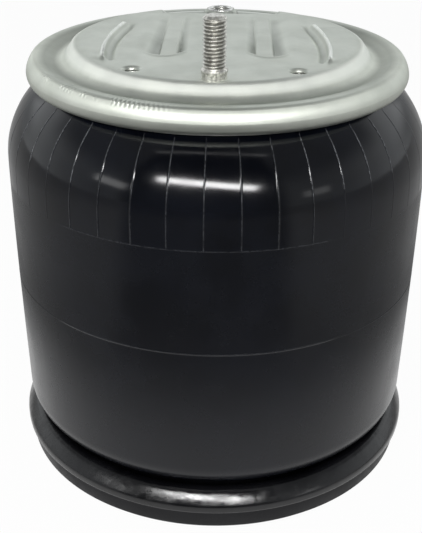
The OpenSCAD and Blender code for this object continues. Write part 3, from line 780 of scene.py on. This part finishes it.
# %% A finish and its parts
def use(tree, made_group, output, **inputs):
    """Puts a group into a material, with this material's own values, and gives one output."""
    values = {key.replace("_", " "): value for key, value in inputs.items()}
    return add(tree, "Group", values, node_tree=made_group).outputs[output]


def drift(scale, a, b):
    """A colour that drifts between a and b."""
    return lambda tree: use(tree, cloud, "Colour", Scale=scale, Colour_A=a, Colour_B=b)


def uneven(scale, low, high):
    """A roughness that drifts between low and high."""
    return lambda tree: between_values(tree, use(tree, cloud, "Mask", Scale=scale), low, high)


def grained(scale, detail=3.0):
    """Fine grain for the bump."""
    return lambda tree: use(tree, grain, "Height", Scale=scale, Detail=detail)


def bare_tree(owner):
    """The emptied node tree of a material or a world."""
    owner.use_nodes = True
    owner.node_tree.nodes.clear()
    return owner.node_tree


FINISHES = {}


def finish(name, colour, roughness, metallic=0.0, height=None, depth=0.0, **others):
    """A material. colour, roughness and the others are values, or functions that make nodes.

    depth is the bump's, in metres."""
    material = FINISHES[name] = bpy.data.materials.new(name)
    tree = bare_tree(material)
    shader = add(tree, "BsdfPrincipled", {"Metallic": metallic})
    for key, part in (("Base Color", colour), ("Roughness", roughness), *others.items()):
        socket = shader.inputs[key.replace("_", " ")]
        put(tree, socket, part(tree) if callable(part) else part)
    if height:
        bumps = {"Strength": 1.0, "Distance": depth, "Height": height(tree)}
        put(tree, shader.inputs["Normal"], add(tree, "Bump", bumps).outputs[0])
    add(tree, "OutputMaterial", {0: shader.outputs[0]})


# %% [markdown]
# ### Steel
# Galvanised sheet is a bright but not polished metal. Its roughness varies a little in soft
# clouds, its grain is fine, and the rim has short creases where the roll gathered the sheet. The
# creases stand like the teeth of a ring, so they come from the angle about the axis, and masks
# keep them on the rim's crown at the left of the stud. Rolling draws the surface out in rings, so
# the shine is stretched along them outside the platform. Shade is painted into the colour: darker
# in the low places of the platform and in the groove. Highlights are painted too: the steep slope
# and the pads' beads are made lighter.


# %% Galvanised plate
def height_of(tree):
    """Object Z, in metres."""
    return split(tree, spot_of(tree))[2]


def from_axis_of(tree, axis_y=0.0):
    """Distance from the upright line through (0, axis_y), in metres: the root of x x + y y."""
    x, y, _ = split(tree, spot_of(tree))
    y = calc(tree, "SUBTRACT", y, axis_y)
    return calc(tree, "SQRT", calc(tree, "MULTIPLY_ADD", x, x, calc(tree, "MULTIPLY", y, y)))


def off_platform(tree):
    """0 on the platform and 1 outside it, where the rolling has drawn the surface out in rings."""
    return ramp(tree, from_axis_of(tree), 0.081, 0.087)


def near_radius(tree, radius, full, none):
    """1 up to full metres from a ring of that radius about the axis, and 0 beyond none metres."""
    return ramp(tree, apart(tree, from_axis_of(tree), radius), full, none, 1.0, 0.0)


def sheet_colour(tree):
    """Zinc with painted shade in the valleys and groove, painted highlights on beads and slope."""
    zinc = use(tree, cloud, "Colour", Scale=38.0, Low=0.3, High=0.7,
               Colour_A=(0.58, 0.605, 0.548, 1), Colour_B=(0.66, 0.685, 0.625, 1))
    height, top = height_of(tree), TOP / 1000
    # painted shade: the zinc goes darker where the platform lies low, in its valleys and dips, and in the
    # groove
    low = ramp(tree, height, top - 0.0003, top - 0.0022, 0.0, 0.55)
    low = calc(tree, "MULTIPLY", low, calc(tree, "SUBTRACT", 1.0, off_platform(tree)))
    low = calc(tree, "MULTIPLY_ADD", near_radius(tree, 0.1005, 0.0028, 0.0072), 0.5, low)
    toned_low = mix(tree, low, zinc, (0.22, 0.235, 0.21, 1))
    # painted highlights: the zinc goes pale on the pads' beads and on the steep slope
    painted_bead_highlight = ramp(tree, height, top + 0.0016, top + 0.0028)
    painted_slope_highlight = calc(tree, "MULTIPLY", near_radius(tree, 0.0880, 0.0016, 0.0036), 0.5)
    return mix(tree, calc(tree, "MAXIMUM", painted_bead_highlight, painted_slope_highlight), toned_low, (0.93, 0.95, 0.9, 1))


def sheet_roughness(tree):
    """Duller outside the platform, and smoother in the scuffs."""
    soft = use(tree, cloud, "Mask", Scale=70.0, Low=0.3, High=0.7)
    marks = use(tree, scuff, "Mask", Scale=45.0, Amount=0.25)
    soft = between_values(tree, soft, 0.42, 0.52)
    rough = calc(tree, "MULTIPLY_ADD", off_platform(tree), 0.1, soft)
    return calc(tree, "SUBTRACT", rough, calc(tree, "MULTIPLY", marks, 0.1))


def sheet_height(tree):
    """Fine grain, plus creases: a sine of the angle, kept to a band of radius and of angle."""
    x, y, _ = split(tree, spot_of(tree))
    angle = calc(tree, "ARCTAN2", y, x)
    teeth = calc(tree, "SINE", calc(tree, "MULTIPLY", angle, 260.0))
    band = near_radius(tree, 0.1095, 0.0014, 0.0032)
    side = ramp(tree, apart(tree, angle, -2.3), 0.25, 0.6, 1.0, 0.0)
    patches = use(tree, cloud, "Mask", Scale=90.0, Low=0.42, High=0.6)
    where = calc(tree, "MULTIPLY", band, calc(tree, "MULTIPLY", side, patches))
    crease = calc(tree, "MULTIPLY", teeth, where)
    return calc(tree, "MULTIPLY_ADD", crease, 11.0, grained(1400.0, 2.0)(tree))


finish("galvanised_sheet", sheet_colour, sheet_roughness, 1.0, sheet_height, 0.00003,
       Anisotropic=lambda tree: calc(tree, "MULTIPLY", off_platform(tree), 0.6),
       Tangent=lambda tree: add(tree, "Tangent", direction_type="RADIAL", axis="Z").outputs[0])


# %% Zinc plate, stud and plain steel
def stud_colour(tree):
    """Zinc on the crests and the end, darker in the roots of the thread."""
    crest = ramp(tree, from_axis_of(tree, -FIX_R / 1000), 0.00535, 0.0061)
    end = ramp(tree, height_of(tree), 0.2985, 0.2987)
    zinc = use(tree, cloud, "Colour", Scale=620.0, Low=0.42, High=0.6,
               Colour_A=(0.82, 0.81, 0.76, 1), Colour_B=(0.5, 0.49, 0.45, 1))
    return mix(tree, calc(tree, "MAXIMUM", crest, end), (0.24, 0.235, 0.21, 1), zinc)


finish("zinc_stud", stud_colour, uneven(300.0, 0.34, 0.5), 1.0, grained(1800.0, 2.0), 0.00004)
finish("zinc_fixing", drift(120.0, (0.66, 0.66, 0.63, 1), (0.78, 0.78, 0.75, 1)),
       uneven(200.0, 0.2, 0.32), 1.0, grained(1500.0, 2.0), 0.00003)
finish("plain_steel", drift(60.0, (0.30, 0.30, 0.31, 1), (0.44, 0.44, 0.45, 1)),
       uneven(90.0, 0.3, 0.5), 1.0, grained(1100.0), 0.00005)
finish("bead_wire", drift(150.0, (0.40, 0.35, 0.24, 1), (0.55, 0.50, 0.38, 1)),
       0.35, 1.0, grained(900.0), 0.00008)

# %% [markdown]
# ### Rubber and paint
# Moulded rubber copies the mould's polish, so it shines, but weakly: only about one part in
# forty of the light comes straight back. The surface also waves very slightly, and the wave is
# what makes the edges of its reflections uneven. Black enamel shines more, over an orange-peel
# skin. Neither is pure black: a thin film of dust makes them a little lighter in patches.


# %% Rubber
def waves(scale, share, fine_scale):
    """Slow waves plus a share of fine grain."""
    def build(tree):
        slow, quick = grained(scale, 1.0)(tree), grained(fine_scale, 2.0)(tree)
        return calc(tree, "MULTIPLY_ADD", quick, share, slow)
    return build


def mark_painted_glint_and_dullness(tree):
    """The sleeve's attribute: above zero where a mark gets a painted glint, below zero where duller."""
    return add(tree, "Attribute", attribute_name="mark_painted_glint_and_dullness").outputs["Fac"]


def rubber_colour(tree):
    """Blue-black in a slow cloud, lighter low down, with a painted glint in dashes on the marks."""
    base = drift(22.0, (0.0010, 0.0013, 0.0024, 1), (0.0024, 0.0030, 0.0052, 1))(tree)
    low = ramp(tree, height_of(tree), 0.20, 0.08, 0.0, 0.35, SOFT)
    toned_low = mix(tree, low, base, (0.0075, 0.008, 0.011, 1))
    # painted glint: a pale colour on the marks, broken into dashes
    glint_dashes = between_values(tree, use(tree, cloud, "Mask", Scale=600.0, Low=0.4, High=0.6), 0.2, 1.0)
    painted_glint_amount = calc(tree, "MULTIPLY", calc(tree, "MAXIMUM", mark_painted_glint_and_dullness(tree), 0.0), glint_dashes)
    return mix(tree, painted_glint_amount, toned_low, (0.13, 0.135, 0.145, 1))


def rubber_roughness(tree):
    """Polished above the ring of the vents, duller below it, and dull on the marks at the sides."""
    ring = VENT_Z / 1000
    dull = ramp(tree, height_of(tree), ring + 0.0006, ring - 0.0006, 0.10, 0.24)
    dark = calc(tree, "MINIMUM", mark_painted_glint_and_dullness(tree), 0.0)
    rough = calc(tree, "MULTIPLY_ADD", dark, -0.5, dull)
    return calc(tree, "MULTIPLY_ADD", use(tree, cloud, "Mask", Scale=45.0), 0.05, rough)


finish("sleeve_rubber", rubber_colour, rubber_roughness, 0.0, waves(26.0, 0.006, 900.0), 0.00012,
       Specular_IOR_Level=0.34)
finish("seal_rubber", (0.02, 0.02, 0.02, 1), uneven(200.0, 0.4, 0.55), 0.0, grained(1200.0),
       0.00005)
finish("bumper_rubber", drift(40.0, (0.026, 0.025, 0.023, 1), (0.045, 0.042, 0.038, 1)),
       uneven(80.0, 0.6, 0.75), 0.0, grained(700.0), 0.00015)


# %% Black paints
def enamel_roughness(tree):
    """Smooth, with a few duller scuffs."""
    marks = use(tree, scuff, "Mask", Scale=50.0, Amount=0.5)
    return calc(tree, "MULTIPLY_ADD", marks, 0.2, uneven(130.0, 0.13, 0.25)(tree))


finish("gloss_black_paint", drift(30.0, (0.0018, 0.0018, 0.0024, 1), (0.004, 0.004, 0.005, 1)),
       enamel_roughness, 0.0, waves(150.0, 0.15, 1300.0), 0.00014, Specular_IOR_Level=0.5)
finish("satin_black_paint", drift(35.0, (0.005, 0.005, 0.006, 1), (0.010, 0.010, 0.011, 1)),
       uneven(70.0, 0.42, 0.55), 0.0, grained(600.0), 0.00012, Specular_IOR_Level=0.2)
print("finishes:", ", ".join(FINISHES))

# %% Finishes onto pieces and CAD nodes
for slot, pieces in made.items():
    for piece in pieces:
        piece.data.materials.append(FINISHES[slot])
for part in frame["record"]["subparts"]:
    node = frame["nodes"][part["node"]]
    for place_in in node.material_slots:
        place_in.link = "OBJECT"
        place_in.material = FINISHES[part["material_slot"]]
print("dressed pieces:", sum(len(pieces) for pieces in made.values()))

# %% [markdown]
# ## Floor and light
# A pale floor and soft light, as in a small photo studio. A long lamp in front makes the bright
# band across the sleeve's shoulder and across the piston's foot, a narrow one above it makes the
# thin line under the rim, and two weak ones stand at the sides. The world is the room: brighter at
# the sides, and dark in front, where the photographer stood, because black rubber and enamel show
# mostly what they mirror. So the floor's mirror image gets darker too, away from the object. The
# camera sees a white floor and a white room, and the floor still takes a faint shadow, because
# only part of what the camera sees there is the plain white. From below, the floor is clear, so
# that the base can be looked at; it lies a twentieth of a millimetre under the part.


# %% Floor
def bearing_of(tree, x, y):
    """The angle from the front, -Y, in radians; it grows towards +X."""
    return calc(tree, "ARCTAN2", x, calc(tree, "MULTIPLY", y, -1.0))


FLOOR_HALF, FLOOR_Z = 30000.0, -0.05
square = np.array([(-1, -1), (1, -1), (1, 1), (-1, 1)]) * FLOOR_HALF
floor_corners = np.column_stack([square, np.full(4, FLOOR_Z)])
floor = into_scene("floor", to_mesh("floor", floor_corners, np.array([[0, 1, 2, 3]])))
pale_floor = bpy.data.materials.new("pale_floor")
floor.data.materials.append(pale_floor)
tree = bare_tree(pale_floor)
ray = add(tree, "LightPath").outputs
spot = spot_of(tree)
away = add(tree, "VectorMath", {0: spot}, operation="LENGTH").outputs["Value"]
x, y, _ = split(tree, spot)
off_centre = apart(tree, bearing_of(tree, x, y), radians(-4))
far_off = ramp(tree, away, 0.14, 0.31, kind=SOFT)
in_front = ramp(tree, off_centre, radians(44), radians(36), kind=SOFT)
aside_shade = ramp(tree, away, 0.27, 0.4, 0.88, 0.66)
more = calc(tree, "SUBTRACT", 0.9, aside_shade)
shade = calc(tree, "MULTIPLY", far_off, calc(tree, "MULTIPLY_ADD", in_front, more, aside_shade))
shade = calc(tree, "MULTIPLY", shade, ray["Is Glossy Ray"])
kept = between_values(tree, shade, 1.0, 0.0)
matt = add(tree, "BsdfDiffuse", {"Color": calc(tree, "MULTIPLY", kept, 0.8)})
white = add(tree, "Emission", {"Color": (1, 1, 1, 1), "Strength": 1.0})
mirrored = calc(tree, "MULTIPLY", ray["Is Glossy Ray"], kept)
straight = calc(tree, "ADD", ray["Is Camera Ray"], mirrored)
straight = calc(tree, "ADD", straight, ray["Is Transmission Ray"])
seen = calc(tree, "MULTIPLY", calc(tree, "MINIMUM", straight, 1.0), 0.96)
above = add(tree, "MixShader", {0: seen, 1: matt.outputs[0], 2: white.outputs[0]})
from_below = add(tree, "NewGeometry").outputs["Backfacing"]
clear = add(tree, "BsdfTransparent")
one_way = add(tree, "MixShader", {0: from_below, 1: above.outputs[0], 2: clear.outputs[0]})
add(tree, "OutputMaterial", {0: one_way.outputs[0]})
print("floor at", FLOOR_Z, "mm")

# %% World
world = bpy.data.worlds.new("studio")
bpy.context.scene.world = world
tree = bare_tree(world)
x, y, z = split(tree, add(tree, "TexCoord").outputs["Generated"])
azimuth = bearing_of(tree, x, y)
from_front = calc(tree, "ABSOLUTE", azimuth)
aside = ramp(tree, from_front, radians(60), radians(125), 0.55, 1.2, SOFT)
behind = ramp(tree, from_front, radians(140), radians(170), 0.0, 0.17, SOFT)
backward = ramp(tree, from_front, radians(105), radians(140), kind=SOFT)
sky_low = between_values(tree, backward, 0.62, 0.8)
sky_high = between_values(tree, backward, 0.3, 0.5)
low_sky = ramp(tree, z, sky_low, sky_high, kind=SOFT)
horizon = calc(tree, "MULTIPLY", ramp(tree, z, 0.28, 0.08, 0.0, 0.65, SOFT), backward)
glow = calc(tree, "SUBTRACT", aside, behind)
glow = calc(tree, "MULTIPLY", glow, calc(tree, "SUBTRACT", 1.0, horizon))
level = calc(tree, "MULTIPLY_ADD", low_sky, calc(tree, "SUBTRACT", glow, 0.3), 0.3)
off_centre = apart(tree, azimuth, radians(-5.5))
curtain = ramp(tree, off_centre, radians(38), radians(47), 0.2, 1.0, SOFT)
level = calc(tree, "MULTIPLY", level, curtain)
sky = add(tree, "Background", {"Color": (0.95, 0.98, 1.0, 1), "Strength": level})
plain = add(tree, "Background", {"Color": (1, 1, 1, 1), "Strength": 0.99})
ray = add(tree, "LightPath").outputs
straight = calc(tree, "MAXIMUM", ray["Is Camera Ray"], ray["Is Transmission Ray"])
backdrop = add(tree, "MixShader", {0: straight, 1: sky.outputs[0], 2: plain.outputs[0]})
add(tree, "OutputWorld", {0: backdrop.outputs[0]})
print("world nodes:", len(tree.nodes))


# %% Lamps
def lamp(name, target, azimuth, elevation, distance, width, height, watts, lean=0.0):
    """A flat lamp that faces target from a compass direction and a height angle.

    lean turns it in its own plane, in degrees; a positive lean lifts its end towards -X."""
    data = bpy.data.lights.new(name, "AREA")
    data.shape, data.size, data.size_y, data.energy = "RECTANGLE", width, height, watts
    a, e = radians(azimuth), radians(elevation)
    back = Matrix.Rotation(a, 3, "Z") @ Matrix.Rotation(-e, 3, "X")
    item = into_scene(name, data)
    lean = Matrix.Rotation(-radians(lean), 3, "Z")
    item.rotation_euler = (back @ Matrix.Rotation(radians(90), 3, "X") @ lean).to_euler()
    way = Vector((cos(e) * sin(a), -cos(e) * cos(a), sin(e)))
    item.location = Vector(target) + distance * way


# target, azimuth, elevation, distance, width, height, watts and lean
centre_of_light = (0.0, 0.0, 0.15)
lamp("front_band", centre_of_light, -3.5, 31, 1.4, 1.19, 0.13, 19.0, 8)
lamp("high_band", centre_of_light, -3.0, 64.5, 1.4, 1.1, 0.03, 0.3)
lamp("left_window", centre_of_light, -54, 18, 1.4, 0.42, 0.15, 0.65, 4)
lamp("right_window", centre_of_light, 52, 12, 1.4, 0.34, 0.14, 0.2)

# %% View transform and size
bpy.context.scene.view_settings.view_transform = "Standard"
